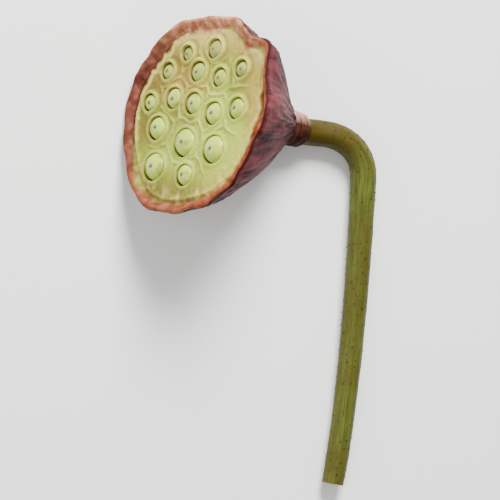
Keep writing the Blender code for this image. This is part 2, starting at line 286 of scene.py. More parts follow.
# Size across of the clouds, bands and grain in the colours. The cells of real skin are 0.05 mm or less,
# too fine to show in the render, so the face's grain and the skin's are drawn about 1 mm across.
FACE_CLOUD = 0.0091
FACE_SPOT = 0.0059
FACE_GRAIN = 0.00143
SKIN_GRAIN = 0.0009
RIM_BAND = 0.0046
RIM_BLOT = 0.0030
SIDE_CLOUD = 0.0092
SIDE_FIBRE = 0.0017
SIDE_STRETCH = 4.5
NECK_CLOUD = 0.0031
NUT_CLOUD = 0.0038
NUT_SMUDGE = 0.0048
STALK_STREAK = 0.00097
STALK_STRETCH = 14
STALK_PATCH = 0.0167
STALK_SCAR = 0.00053

# Fineness of the meshes
POD_SIDES = 400
RIM_STEP = 0.00042
SIDE_STEP = 0.00075
NECK_STEP = 0.0005
CELL_SIDES = 52
CELL_STEPS = 8
FACE_STEP = 0.00045
LIP_RINGS = (0.0002, 0.0004, 0.0007, 0.0010, 0.0014, 0.0018, 0.0023)

# Camera and light, by the angle at which the photo sees the pod
VIEW_FROM = Vector((-0.32, 0.0, 0.947))
VIEW_DISTANCE = 1.3
VIEW_MIDDLE = Vector((-0.0055, 0.0023, 0.020))
VIEW_HEIGHT = 0.214
TABLE_REACH = 1.5
LAMP_DISTANCE = 1.2
KEY_FROM = Vector((0.05, 0.85, 0.75))
KEY_SIZE = 0.5
KEY_POWER = 42
FILL_FROM = Vector((-0.9, -0.15, 0.8))
FILL_SIZE = 1.0
FILL_POWER = 9
ROOM_STRENGTH = 0.48

SOCKET_KINDS = {float: "NodeSocketFloat", int: "NodeSocketInt", bpy.types.Material: "NodeSocketMaterial"}


def bearing_gap(bearing, other):
    """Angle between two bearings, from -pi to pi."""
    return (bearing - other + math.pi) % (2 * math.pi) - math.pi


def ramp(value, start, end):
    """A smooth step from 0 at the start to 1 at the end."""
    share = np.clip((value - start) / (end - start), 0, 1)
    return share * share * (3 - 2 * share)


def between(value, start, full, fade, end):
    """Rises from 0 at the start to 1 where it is full, and fades again to 0 at the end."""
    return ramp(value, start, full) * (1 - ramp(value, fade, end))


def hump(value, middle, spread):
    """A soft bump of height 1 round a middle value."""
    return np.exp(-(((value - middle) / spread) ** 2))


def smooth_max(first, second, blend):
    """The larger of two heights, with the crease between them rounded over a blend."""
    near = np.clip(blend - np.abs(first - second), 0, None) / blend
    return np.maximum(first, second) + near * near * blend / 4


def waves(points, size, shift=0.0):
    """Smooth noise from about -1 to 1 at each point, with features one size across."""
    return np.array([noise.noise(Vector(point) / size + Vector((shift, shift, shift))) for point in points])


def even_turns(count):
    """Angles evenly round a circle."""
    return np.arange(count) * 2 * math.pi / count


def round_the_face(bearing, along=0.0):
    """Points on a unit circle, so that a pattern has no seam where the bearings meet."""
    bearing = np.asarray(bearing, dtype=float)
    along = np.broadcast_to(along, bearing.shape)
    return np.stack((np.cos(bearing), np.sin(bearing), along), axis=-1)


def by_bearing(bearing, table):
    """A value at each bearing, read off a table of bearings in degrees and values."""
    marks, values = zip(*table)
    return np.interp(np.degrees(bearing), marks, values, period=360)


def on_face(bearing, distance):
    """Place on the face at a bearing in degrees and a distance from its middle."""
    return distance * math.cos(math.radians(bearing)), distance * math.sin(math.radians(bearing))


def patches(x, y, table):
    """Soft round patches on the face: bearing in degrees, distance from the middle and reach of each."""
    share = np.zeros_like(x)
    for bearing, distance, reach in table:
        middle_x, middle_y = on_face(bearing, distance)
        share += np.exp(-((x - middle_x) ** 2 + (y - middle_y) ** 2) / reach ** 2)
    return np.clip(share, 0, 1)


def rim_growth(bearing):
    """How far the uneven rim stands outside a circle at each bearing."""
    growth = np.zeros_like(bearing)
    for lobe_bearing, height, spread in RIM_LOBES:
        growth += height * hump(bearing_gap(bearing, math.radians(lobe_bearing)), 0, math.radians(spread))
    for height, width in OUTLINE_WAVES:
        growth += height * waves(round_the_face(bearing), width, shift=3.0)
    return growth


def face_edge(bearing):
    """Distance of the edge of the seed face from its middle."""
    return FACE_RADIUS * (1 + FACE_SHARE * rim_growth(bearing) / RIM_RADIUS)


def seed_sites():
    """Place, lean and radius of each seed in the pod's frame, from the middle of the face outwards."""
    draw = random.Random(LEAN_SEED)
    sites = []
    for bearing, distance, width in MIDDLE_SEEDS + INNER_SEEDS + OUTER_SEEDS:
        lean = (draw.uniform(-SEED_LEAN, SEED_LEAN), draw.uniform(-SEED_LEAN, SEED_LEAN), 0)
        sites.append((Vector((*on_face(bearing, distance), -SEED_SINK)), Euler(lean), width / 2))
    return sites


def cell_middle(place, offset=MOUTH_OFFSET):
    """Each cell is a little off its seed, so that a gap opens towards the left of the picture."""
    turn = MOUTH_BEARING + MOUTH_BEARING_TURN * max(-1.0, min(1.0, place.y / MOUTH_TURN_REACH))
    return place + offset * Vector((math.cos(turn), math.sin(turn), 0))


def egg_taper(drop, radius):
    """Share of its width that an egg keeps at a drop below its middle: its lower end is the narrow one."""
    return 1 - EGG_TAPER * np.clip(drop / radius, 0, 1) ** 2


def egg_distance(x, y, middle, radius):
    """Distance from the middle of an egg-shaped cell, stretched so that its mouth is at the radius."""
    across, drop = x - middle[0], y - middle[1]
    return np.hypot(across / egg_taper(drop, radius), drop)


def egg_ring(radius, turns):
    """Points round an egg, from its middle."""
    drop = radius * np.sin(turns)
    return np.stack((radius * np.cos(turns) * egg_taper(drop, radius), drop), axis=-1)


def mouth_radii(sites):
    """Half the width of the mouth of each cell."""
    return np.array([radius + MOUTH_CLEARANCE for _, _, radius in sites])


def mouth_gaps(x, y, sites):
    """How far each point lies outside the mouth of every cell, cell by cell."""
    radii = mouth_radii(sites)
    reach = [egg_distance(x, y, cell_middle(place), radius) for (place, _, _), radius in zip(sites, radii)]
    return np.array(reach) - radii[:, None]


def face_height(x, y, sites):
    """Height of the seed face: its swell, the lips of the cells, rays at the edge and small lumps."""
    bearing = np.arctan2(y, x)
    share = np.hypot(x, y) / face_edge(bearing)
    height = FACE_SWELL * (1 - ramp(share, 0, SWELL_END)) + FACE_EDGE_LIFT * ramp(share, EDGE_LIFT_FROM, 1.0)
    rays = np.abs(waves(round_the_face(bearing), RAY_WIDTH))
    height += RAY_HEIGHT * (rays - RAY_MIDDLE) * ramp(share, *RAY_START)
    flat = np.stack((x, y, np.zeros_like(x)), axis=-1)
    for depth, size in FACE_LUMPS:
        height += depth * waves(flat, size, shift=7.0)
    wander_x = x + WEB_WANDER * waves(flat, WEB_WANDER_SIZE, shift=17.0)
    wander_y = y + WEB_WANDER * waves(flat, WEB_WANDER_SIZE, shift=23.0)
    nearest, second = np.sort(mouth_gaps(wander_x, wander_y, sites), axis=0)[:2]
    web = hump(second - nearest, 0, WEB_WIDTH) * ramp(nearest, *WEB_OFF_LIPS)
    height += WEB_HEIGHT * web * (1 - ramp(share, *WEB_FADE))
    uneven = 1 + LIP_UNEVENNESS * waves(flat, LIP_UNEVEN_SIZE, shift=11.0)
    rolled = np.zeros_like(x)
    for gap, radius in zip(mouth_gaps(x, y, sites), mouth_radii(sites)):
        swelling = np.sqrt(np.clip(1 - ((gap + radius) / (radius + LIP_WIDTH)) ** 2, 0, 1))
        height = smooth_max(height, LIP_HEIGHT * swelling * uneven - LIP_SINK, LIP_BLEND)
        rolled += np.clip(1 - gap / LIP_ROLL_WIDTH, 0, 1) ** 2
    return height - LIP_ROLL_DEPTH * rolled


def face_points(sites):
    """Points for the seed face: its edge, the mouths of the cells, rings round them and a field between."""
    turns = even_turns(POD_SIDES)
    edge = face_edge(turns)
    points = [np.stack((edge * np.cos(turns), edge * np.sin(turns)), axis=-1)]
    mouth = even_turns(CELL_SIDES)
    loose = []
    for owner, ((place, _, _), radius) in enumerate(zip(sites, mouth_radii(sites))):
        middle = np.array(cell_middle(place).xy)
        points.append(middle + egg_ring(radius, mouth))
        for step, offset in enumerate(LIP_RINGS):
            turn = mouth + (step % 2) * math.pi / CELL_SIDES
            ring = middle + egg_ring(radius, turn) * (radius + offset) / radius
            loose.append(ring[mouth_gaps(*ring.T, sites).argmin(axis=0) == owner])
    reach = edge.max()
    for number, row in enumerate(np.arange(-reach, reach, FACE_STEP * math.sqrt(3) / 2)):
        across = np.arange(-reach, reach, FACE_STEP) + (number % 2) * FACE_STEP / 2
        line = np.stack((across, np.full_like(across, row)), axis=-1)
        loose.append(line[mouth_gaps(*line.T, sites).min(axis=0) > LIP_RINGS[-1] + FACE_STEP / 2])
    loose = np.concatenate(loose)
    bearing = np.arctan2(loose[:, 1], loose[:, 0])
    inside = np.hypot(loose[:, 0], loose[:, 1]) < face_edge(bearing) - FACE_STEP / 2
    return np.concatenate(points + [loose[inside]])


def face_mesh(sites):
    """The skin of the seed face with a hole at every cell: points, triangles, and where each outline went."""
    points = face_points(sites)
    fixed = POD_SIDES + len(sites) * CELL_SIDES
    stops = [0, *range(POD_SIDES, fixed + 1, CELL_SIDES)]
    edges = []
    for start, stop in zip(stops, stops[1:]):
        loop = np.arange(start, stop)
        edges += zip(loop.tolist(), np.roll(loop, -1).tolist())
    found = delaunay_2d_cdt([Vector(point) for point in points], edges, [], 1, 1e-9)
    flat = np.array([tuple(point) for point in found[0]])
    triangles = np.array(found[2])
    centre = flat[triangles].mean(axis=1)
    keep = np.hypot(centre[:, 0], centre[:, 1]) < face_edge(np.arctan2(centre[:, 1], centre[:, 0]))
    sagitta = mouth_radii(sites) * (1 - math.cos(math.pi / CELL_SIDES))
    keep &= (mouth_gaps(*centre.T, sites) > -sagitta[:, None]).all(axis=0)
    went = np.full(len(points), -1)
    for new, olds in enumerate(found[3]):
        went[olds] = new
    return flat, triangles[keep], went[:fixed]


def pod_profile():
    """Key rings from the edge of the face to the neck: radius, height, share of the outline, pleats."""
    side = []
    for step in range(SIDE_STEPS + 1):
        rise = 1 - step / SIDE_STEPS
        fullness = 1 - (1 - rise) ** SIDE_FULLNESS
        radius = NECK_RADIUS + (RIM_RADIUS - SIDE_INSET - NECK_RADIUS) * fullness
        height = -SIDE_DROP - (SIDE_LENGTH - SIDE_DROP) * (1 - rise)
        side.append((radius, height, fullness ** 2, math.sin(math.pi * min(1, 0.15 + rise)) ** 0.5))
    neck = [(radius, height, 0.0, 0.0) for radius, height in NECK_RINGS]
    return np.array([*RIM_RINGS, *side, *neck])


def smooth_profile():
    """The key rings joined by a smooth line: the rings, their travel from the edge, and the zone ends."""
    keys = pod_profile()
    chord = np.hypot(np.diff(keys[:, 0]), np.diff(keys[:, 1]))
    travel = np.concatenate(([0], np.cumsum(chord)))
    rim_end = travel[len(RIM_RINGS)]
    neck_start = travel[-len(NECK_RINGS)]
    stops = np.concatenate((
        np.arange(0, rim_end - RIM_STEP / 2, RIM_STEP),
        np.arange(rim_end, neck_start - SIDE_STEP / 2, SIDE_STEP),
        np.arange(neck_start, travel[-1] - NECK_STEP / 2, NECK_STEP),
        travel[-1:],
    ))
    slope = np.gradient(keys, travel, axis=0)
    slope[-len(NECK_RINGS):] = 0
    index = np.clip(np.searchsorted(travel, stops, side="right") - 1, 0, len(keys) - 2)
    length = (travel[index + 1] - travel[index])[:, None]
    share = (stops - travel[index])[:, None] / length
    rings = (
        (2 * share ** 3 - 3 * share ** 2 + 1) * keys[index]
        + (share ** 3 - 2 * share ** 2 + share) * length * slope[index]
        + (3 * share ** 2 - 2 * share ** 3) * keys[index + 1]
        + (share ** 3 - share ** 2) * length * slope[index + 1]
    )
    return rings, stops, (rim_end, neck_start)


def side_relief(turns, travel, zones):
    """How far one ring's skin stands off the smooth profile, and the painted light and shade that follow it:
    0 for painted shade in a fold, 1 for a painted highlight on a ridge.
    """
    rim_end, neck_start = zones
    on_rim = between(travel, RIM_FOLDS_FROM, RIM_FADE, rim_end - RIM_FADE, rim_end)
    on_side = between(
        travel, rim_end - RIM_FADE, rim_end + SIDE_FADE_IN, neck_start - SIDE_FADE_OUT, neck_start
    )
    on_neck = between(
        travel - neck_start, RING_LINES_FROM, RING_LINES_FULL, RING_LENGTH - RING_FADE_OUT, RING_LENGTH
    )
    height = np.zeros_like(turns)
    relief_shading = np.full_like(turns, 0.5)
    if on_rim > 0:
        slant = RIM_FOLD_SLANT * travel / RIM_STEP * RIM_FOLD_WIDTH
        folds = waves(round_the_face(turns, slant), RIM_FOLD_WIDTH)
        height += on_rim * RIM_FOLD_DEPTH * folds
        relief_shading = relief_shading + on_rim * folds
    if on_side > 0:
        down = ramp(travel, rim_end, neck_start)
        narrowing = 1 - NECK_NARROWING * down
        streaks = np.abs(waves(round_the_face(turns, CREASE_SLANT * travel), CREASE_WIDTH, shift=1.5))
        height += on_side * narrowing * CREASE_DEPTH * (CREASE_MIDDLE - streaks)
        relief_shading = relief_shading + on_side * (0.5 - streaks / CREASE_MIDDLE)
        places = round_the_face(turns) * RIM_RADIUS * narrowing + np.array((0, 0, NET_STRETCH * travel))
        net = np.abs(waves(places, NET_SIZE / (1 - NET_GROWTH * down), shift=5.0))
        height += on_side * narrowing * NET_DEPTH * (NET_MIDDLE - net)
    if on_neck > 0:
        wander = 0.4 * waves(round_the_face(turns), 0.6, shift=2.0)
        lines = np.cos(2 * math.pi * travel / RING_LINE_SPACING + wander)
        height += on_neck * RING_LINE_DEPTH * lines
        relief_shading = relief_shading + 0.5 * on_neck * lines
    return height, np.clip(relief_shading, 0, 1)


def ring_points(rings, stops, zones, sites):
    """Points of the rim, side and neck, ring by ring outside the face's edge, and the painted light and shade
    that follow their relief.
    """
    turns = even_turns(POD_SIDES)
    growth = rim_growth(turns)
    lips_end = zones[0] / 2
    tangent = np.gradient(rings[:, :2], stops, axis=0)
    tangent /= np.linalg.norm(tangent, axis=1)[:, None]
    points = []
    relief_shadings = []
    for (radius, height, outline, pleat), (run, drop), travel in list(zip(rings, tangent, stops))[1:]:
        relief, relief_shading = side_relief(turns, travel, zones)
        relief_shadings.append(relief_shading)
        reach = radius + outline * growth * radius / RIM_RADIUS
        reach = reach + pleat * PLEAT_DEPTH * np.cos(PLEAT_COUNT * turns) - drop * relief
        lean = NECK_SHIFT * min(1.0, max(0.0, -height / SIDE_LENGTH))
        x = reach * np.cos(turns)
        y = reach * np.sin(turns)
        level = height + run * relief
        if travel < lips_end:
            lips = (face_height(x, y, sites) - FACE_EDGE_LIFT) * (1 - ramp(travel, 0, lips_end))
            level = smooth_max(level, lips - LIP_RIM_SINK, LIP_BLEND)
        points.append(np.stack((x, y + lean, level), axis=-1))
    return np.concatenate(points), np.concatenate(relief_shadings)


def cell_walls(sites, mouths, start):
    """Walls and floors of the cells, hung from the mouths in the face: points, faces and the painted shade on
    the walls.

    A mouth is narrower than the cell below it, so its right edge laps over the nut.
    """
    points = []
    faces = []
    pit_shades = []
    for (place, lean, radius), above in zip(sites, mouths):
        turn = np.array(lean.to_matrix())
        middle = np.array(cell_middle(place, WALL_OFFSET))
        depth = 2 * radius * SEED_DEPTH + CELL_FLOOR_GAP
        outline = egg_ring(radius + WALL_CLEARANCE, even_turns(CELL_SIDES))
        for step in range(CELL_STEPS):
            fall = math.pi / 2 * step / CELL_STEPS
            across, drop = outline.T * math.cos(fall)
            sunk = np.full(CELL_SIDES, depth * math.sin(fall))
            points.append(middle + np.stack((across, drop, -sunk), axis=-1) @ turn.T)
            # Painted shade on the wall: darker deeper down the cell, and weaker on the walls to the right of
            # the picture.
            rightward = np.clip(0.5 + 1.5 * across / radius, 0, 1)
            pit_shades.append((LEFT_WALL_SHADE + (1 - LEFT_WALL_SHADE) * rightward) * (PIT_START + sunk))
            ring = np.arange(start, start + CELL_SIDES)
            faces += zip(above, np.roll(above, -1), np.roll(ring, -1), ring)
            above = ring
            start += CELL_SIDES
        points.append([middle + turn @ (0, 0, -depth)])
        pit_shades.append([PIT_START + depth])
        faces += zip(above, np.roll(above, -1), [start] * CELL_SIDES)
        start += 1
    return np.concatenate(points), faces, np.concatenate(pit_shades)


def pod_placement():
    """Turns the pod's frame onto its side on the table."""
    heading = Matrix.Rotation(FACE_HEADING, 4, "Z")
    tip = Matrix.Rotation(math.pi / 2 - FACE_ELEVATION, 4, "Y")
    return Matrix.Translation(FACE_MIDDLE) @ heading @ tip


def mouth_distance(x, y, sites):
    """Distance from the mouth of the nearest cell, and how far to the left of that cell the point lies."""
    gaps = mouth_gaps(x, y, sites)
    nearest = gaps.min(axis=0)
    owner = gaps.argmin(axis=0)
    middles = np.array([cell_middle(place).x for place, _, _ in sites])
    reach = np.maximum(nearest + mouth_radii(sites)[owner], 1e-6)
    return nearest, (x - middles[owner]) / reach


def skin_marks(x, y, out, bearing, sites):
    """Shares from 0 to 1 that the paint follows. Out is in millimetres from the edge of the face."""
    near, leftward = mouth_distance(x, y, sites)
    near = near * 1000
    # The side of each cell to the left of the picture, where the lip's painted highlight and the painted
    # shade at the mouth are strongest.
    facing = ramp(leftward, -0.7, 0.6)
    inward = 1 - ramp(out, 0.0, 2.0)
    margin = ramp(out, -7.0, -1.0)
    uneven = 0.6 + 0.9 * waves(np.stack((x, y, np.zeros_like(x)), axis=-1), 0.006, shift=4.0)
    uneven = np.clip(uneven, 0, 1)
    rays = waves(round_the_face(bearing, out * RAY_SLANT), RAY_WIDTH)
    fingers = waves(round_the_face(bearing, out * FINGER_SLANT), FINGER_WIDTH, shift=9.0)
    soft = by_bearing(bearing, RIM_SOFTNESS)
    start = by_bearing(bearing, RIM_STARTS)
    start = start + np.maximum(soft, 1.5) * (0.9 * rays + 0.2 * fingers)
    side_start = by_bearing(bearing, SIDE_STARTS) + 0.5 * rays
    cream = by_bearing(bearing, CREAM_EDGE)
    streaks = np.clip(1.6 * rays, 0, 1) * margin * (1 - cream) * (1 - 0.8 * ramp(out, -0.5, 1.0))
    marks = {
        "rim": ramp(out, start - 0.35 * soft, start + 0.35 + 0.8 * soft),
        "side": ramp(out, side_start - 0.5, side_start + 0.7),
        "cream": np.clip(cream * hump(out - start, *CREAM_BAND) + streaks, 0, 1),
        # Painted shade in the valley at the face's edge.
        "valley_shade": by_bearing(bearing, VALLEY_SHADE_SHARE) * hump(out - start, *VALLEY_SHADE_BAND),
        # Painted shade in a strip just under the rim, where the side begins.
        "under": hump(out - side_start, *UNDER_RIM_SHADE_BAND),
        "red": by_bearing(bearing, RED_LINE) * ramp(out, *RED_BAND),
        "lip": inward * uneven * (0.25 + 0.75 * facing) * hump(near, *LIP_HIGHLIGHT_BAND),
        "moat_shade": inward * (1 - 0.8 * uneven) * hump(near, *MOAT_SHADE_BAND),
        # Painted shade at the mouth of each cell, on its side to the left of the picture.
        "slope": inward * facing * hump(near, *MOUTH_SHADE_BAND),
        "warm": np.clip(patches(x, y, WARM_PATCHES) + by_bearing(bearing, WARM_MARGIN) * margin, 0, 1),
    }
    for name, table in (("crimson", CRIMSON), ("orange", ORANGE), ("pale", PALE_RIM)):
        marks[name] = by_bearing(bearing, table)
    for name, table in (("blond", PALE_PATCHES), ("olive", OLIVE_PATCHES), ("fresh", FRESH_PATCHES)):
        marks[name] = patches(x, y, table)
    return marks


def marked_mesh(points, faces, marks, circle):
    """The pod's smooth mesh set down on the table, with the value of every mark at each point."""
    placed = np.array([tuple(pod_placement() @ Vector(point)) for point in points])
    placed[:, 2] = np.maximum(placed[:, 2], 0)
    mesh = bpy.data.meshes.new("pod_skin")
    mesh.from_pydata(placed.tolist(), [], faces)
    for name, values in marks.items():
        mesh.attributes.new(name, "FLOAT", "POINT").data.foreach_set("value", values.astype(np.float32))
    circle = circle.astype(np.float32).ravel()
    mesh.attributes.new("around", "FLOAT_VECTOR", "POINT").data.foreach_set("vector", circle)
    mesh.shade_smooth()
    return mesh


def pod_skin_mesh(sites):
    """The whole pod as one closed skin, with the marks that its paint follows."""
    flat, triangles, went = face_mesh(sites)
    level = face_height(flat[:, 0], flat[:, 1], sites)
    rings, stops, zones = smooth_profile()
    skin, relief_shadings = ring_points(rings, stops, zones, sites)
    socket = len(flat) + len(skin)
    faces = [tuple(corners) for corners in triangles]
    above = went[:POD_SIDES]
    for start in range(len(flat), socket, POD_SIDES):
        below = np.arange(start, start + POD_SIDES)
        faces += zip(above, below, np.roll(below, -1), np.roll(above, -1))
        above = below
    faces += zip(above, [socket] * POD_SIDES, np.roll(above, -1))
    mouths = went[POD_SIDES:].reshape(len(sites), CELL_SIDES)
    walls, wall_faces, pit_shades = cell_walls(sites, mouths, socket + 1)
    faces += wall_faces
    socket_middle = [(0, NECK_SHIFT, RING_END + SOCKET_DEPTH)]
    points = np.concatenate((np.column_stack((flat, level)), skin, socket_middle, walls))

    bearing = np.arctan2(flat[:, 1], flat[:, 0])
    face_out = np.hypot(flat[:, 0], flat[:, 1]) - face_edge(bearing)
    wall_out = np.full(len(walls), -0.01)
    wall_bearing = np.arctan2(walls[:, 1], walls[:, 0])
    out = np.concatenate((face_out, np.repeat(stops[1:], POD_SIDES), stops[-1:], wall_out))
    around = np.concatenate((bearing, np.tile(even_turns(POD_SIDES), len(stops) - 1), [0], wall_bearing))
    marks = skin_marks(points[:, 0], points[:, 1], out * 1000, around, sites)
    marks["neckward"] = np.clip((out - zones[0]) / (zones[1] - zones[0]), 0, 1.3)
    for name, rest, start, values in (
        ("relief_shading", 0.5, len(flat), relief_shadings),
        ("raised", 0.0, 0, level * 1000),
        ("pit_shade", 0.0, socket + 1, pit_shades * 1000),
    ):
        marks[name] = np.full(len(points), rest)
        marks[name][start:start + len(values)] = values
    return marked_mesh(points, faces, marks, round_the_face(around, out * 20))


def linear(code):
    """An sRGB hex colour as the linear colour that the shaders read."""
    shares = [int(code[i:i + 2], 16) / 255 for i in (0, 2, 4)]
    return tuple(s / 12.92 if s <= 0.04045 else ((s + 0.055) / 1.055) ** 2.4 for s in shares) + (1.0,)


def add(tree, kind, links=None, give=0, **settings):
    """Add a node to a tree with its settings, link or set its inputs, and give back one of its outputs.

    A list given for an input links all its sockets to it.
    """
    node = tree.nodes.new(kind)
    for name, value in settings.items():
        setattr(node, name, value)
    for socket, given in (links or {}).items():
        for value in given if isinstance(given, list) else [given]:
            if isinstance(value, bpy.types.NodeSocket):
                tree.links.new(value, node.inputs[socket])
            else:
                node.inputs[socket].default_value = value
    return node.outputs[give]


def new_paint(name, looks):
    """A new material with the looks that are the same all over set on its Principled node.

    Gives the material, its tree, the inputs of that node, and Object coordinates.
    """
    material = bpy.data.materials.new(name)
    material.use_nodes = True
    tree = material.node_tree
    skin = tree.nodes["Principled BSDF"].inputs
    for socket, value in looks.items():
        skin[socket].default_value = value
    return material, tree, skin, add(tree, "ShaderNodeTexCoord", give="Object")


def lay_tints(tree, colour, tints):
    """Lay tints over a colour in turn. A tint has its hex code or socket, the value that it follows, where on
    that value it starts and is at its fullest, and the share of the colour that it then hides."""
    for tint, follows, start, fullest, cover in tints:
        share = add(tree, "ShaderNodeMapRange", {0: follows, 1: start, 2: fullest, 4: cover})
        over = linear(tint) if isinstance(tint, str) else tint
        colour = add(tree, "ShaderNodeMix", {0: share, 6: colour, 7: over}, give=2, data_type="RGBA")
    return colour


def face_colour(tree, coords, mark):
    """Pale green with tan and olive patches, painted shade in the hollows and round the cells, and painted
    highlights on the raised lips and webs.
    """
    broad, spots, grain = (
        add(tree, "ShaderNodeTexNoise", {"Vector": coords, "Scale": 1 / size, "Detail": detail})
        for size, detail in ((FACE_CLOUD, 2), (FACE_SPOT, 2), (FACE_GRAIN, 3))
    )
    warmth = add(tree, "ShaderNodeMath", {0: broad, 1: 0.15}, operation="ADD")
    warmth = add(tree, "ShaderNodeMath", {0: warmth, 1: mark["warm"]}, operation="MULTIPLY")
    colour = lay_tints(tree, linear("727c24"), (
        ("94a538", broad, 0.35, 0.65, 1.0),
        ("a98c40", warmth, 0.05, 0.55, 0.85),
        ("a07c44", spots, 0.53, 0.63, 0.5),
        ("d0bc6a", mark["blond"], 0, 1, 0.6),
        ("695a26", mark["olive"], 0, 1, 0.85),
        # Painted shade where the face lies low, in the hollows between the lips.
        ("5e6122", mark["raised"], 0.30, -0.30, 0.55),
        # Painted shade in the ring-shaped hollow round the foot of each lip.
        ("6c6526", mark["moat_shade"], 0, 1, 0.8),
        ("adc246", mark["fresh"], 0, 1, 0.72),
        # Painted highlight where the face stands high, on the lips and webs.
        ("babf58", mark["raised"], 0.35, 0.95, 0.5),
        # Painted highlight on the crest of each lip, strongest on the side of the cell to the left of the
        # picture.
        ("ccca68", mark["lip"], 0, 1, 0.5),
        # Painted shade at the mouths, on the side of each cell to the left of the picture.
        ("6b6620", mark["slope"], 0, 1, 0.5),
        ("c8b468", mark["cream"], 0, 1, 1.0),
    ))
    shade = add(tree, "ShaderNodeMapRange", {0: grain, 1: 0.3, 2: 0.7, 3: 0.86, 4: 1.08})
    return add(tree, "ShaderNodeVectorMath", {0: colour, "Scale": shade}, operation="SCALE")


def rim_colour(tree, around, mark):
    """Crimson on the left and coral to orange elsewhere, with cross bands about 5 mm apart, painted
    highlights on the ridges of its folds, and painted shade in the valley at the face's edge.
    """
    bands, blots = (
        add(tree, "ShaderNodeTexNoise", {"Vector": around, "Scale": RIM_RADIUS / size, "Detail": detail})
        for size, detail in ((RIM_BAND, 3), (RIM_BLOT, 1))
    )
    skins = (("683c22", "8e5c3e"), ("b06c4c", "d8a07c"), ("7a2e16", "a25230"), ("331412", "62302c"))
    coral, pale, orange, crimson = (
        lay_tints(tree, linear(dark), ((light, bands, 0.38, 0.62, 1.0),)) for dark, light in skins
    )
    return lay_tints(tree, coral, (
        (pale, mark["pale"], 0, 1, 1.0),
        (orange, mark["orange"], 0, 1, 1.0),
        (crimson, mark["crimson"], 0, 1, 1.0),
        ("5a3018", blots, 0.48, 0.60, 0.45),
        # Painted highlight on the ridges of the rim's folds.
        ("ac6c5e", mark["relief_shading"], 0.6, 1.0, 0.3),
        ("783624", mark["red"], 0, 1, 0.4),
        # Painted shade in the valley between the face's edge and the rim.
        ("3e1a12", mark["valley_shade"], 0, 1, 1.0),
    ))


def side_colour(tree, around, mark):
    """Wine red with long mauve streaks from the rim to the neck, partly streaks of its own colour and partly
    painted highlights on the ridges of its folds, and painted shade, nearly black, under the rim.
    """
    squeeze = (1, 1, 1 / SIDE_STRETCH)
    long_way = add(tree, "ShaderNodeVectorMath", {0: around, 1: squeeze}, operation="MULTIPLY")
    # Painted highlights on the ridges of the side's folds; the streaks added below are the skin's own colour.
    light = add(tree, "ShaderNodeMath", {0: mark["relief_shading"], 1: 0.35}, operation="MULTIPLY")
    for size, detail, wavy in ((SIDE_CLOUD, 2, 0.3), (SIDE_FIBRE, 4, 0.4)):
        settings = {"Vector": long_way, "Scale": RIM_RADIUS / size, "Detail": detail, "Distortion": wavy}
        cloud = add(tree, "ShaderNodeTexNoise", settings)
        streak = add(tree, "ShaderNodeMapRange", {0: cloud, 1: 0.36, 2: 0.65, 4: 0.45})
        light = add(tree, "ShaderNodeMath", {0: light, 1: streak}, operation="ADD")
    upward = add(tree, "ShaderNodeSeparateXYZ", {0: around}, give=1)
    return lay_tints(tree, linear("1f090a"), (
        ("773a40", light, 0.2, 1.05, 1.0),
        ("2c0f12", upward, -0.1, -0.8, 0.3),
        ("34150f", mark["neckward"], 0.6, 1.0, 0.5),
        # Painted shade, nearly black, under the rim.
        ("240a08", mark["under"], 0, 1, 1.0),
    ))


def neck_colour(tree, coords, around, mark):
    """Red brown with painted shade in the grooves of the lines round it, a painted pink highlight on top, and
    olive brown towards the stalk.
    """
    cloud = add(tree, "ShaderNodeTexNoise", {"Vector": coords, "Scale": 1 / NECK_CLOUD, "Detail": 3})
    upward = add(tree, "ShaderNodeSeparateXYZ", {0: around}, give=1)
    return lay_tints(tree, linear("26100b"), (
        ("4c261b", cloud, 0.35, 0.65, 1.0),
        # Painted pink highlight on the top of the ring in the picture.
        ("d09c88", upward, -0.2, -0.9, 0.8),
        # Painted shade in the grooves of the ring lines.
        ("180b07", mark["relief_shading"], 0.40, 0.0, 0.85),
        ("3c2c0e", mark["neckward"], 1.08, 1.26, 0.7),
    ))


def pod_paint():
    """Fresh lotus pod skin, grown: dull and a little waxy, pale green on the face, red rim, mauve side."""
    looks = {"Roughness": 0.55, "IOR": 1.45, "Specular IOR Level": 0.07}
    material, tree, skin, coords = new_paint("Fresh lotus pod skin, grown", looks)
    mark = {}
    for name in (
        "rim", "side", "crimson", "orange", "pale", "cream", "valley_shade", "warm", "olive", "fresh", "lip",
        "moat_shade", "slope", "blond", "under", "red", "raised", "pit_shade", "neckward", "relief_shading",
    ):
        mark[name] = add(tree, "ShaderNodeAttribute", give="Fac", attribute_name=name)
    around = add(tree, "ShaderNodeAttribute", give="Vector", attribute_name="around")
    colour = lay_tints(tree, face_colour(tree, coords, mark), (
        (rim_colour(tree, around, mark), mark["rim"], 0, 1, 1.0),
        (side_colour(tree, around, mark), mark["side"], 0, 1, 1.0),
        # Painted shade, nearly black, in the crease between the side and the neck ring.
        ("1d0d0a", mark["neckward"], 0.95, 0.99, 1.0),
        (neck_colour(tree, coords, around, mark), mark["neckward"], 1.0, 1.03, 1.0),
        # Painted shade inside the cells, darker deeper down.
        ("5e5f1c", mark["pit_shade"], 0.3, 2.0, 1.0),
        ("2c300e", mark["pit_shade"], 2.0, 6.0, 1.0),
    ))
    tree.links.new(colour, skin["Base Color"])
    grain = add(tree, "ShaderNodeTexNoise", {"Vector": coords, "Scale": 1 / SKIN_GRAIN, "Detail": 3})
    bump = add(tree, "ShaderNodeBump", {"Height": grain, "Strength": 0.35, "Distance": 0.0004})
    tree.links.new(bump, skin["Normal"])
    return material


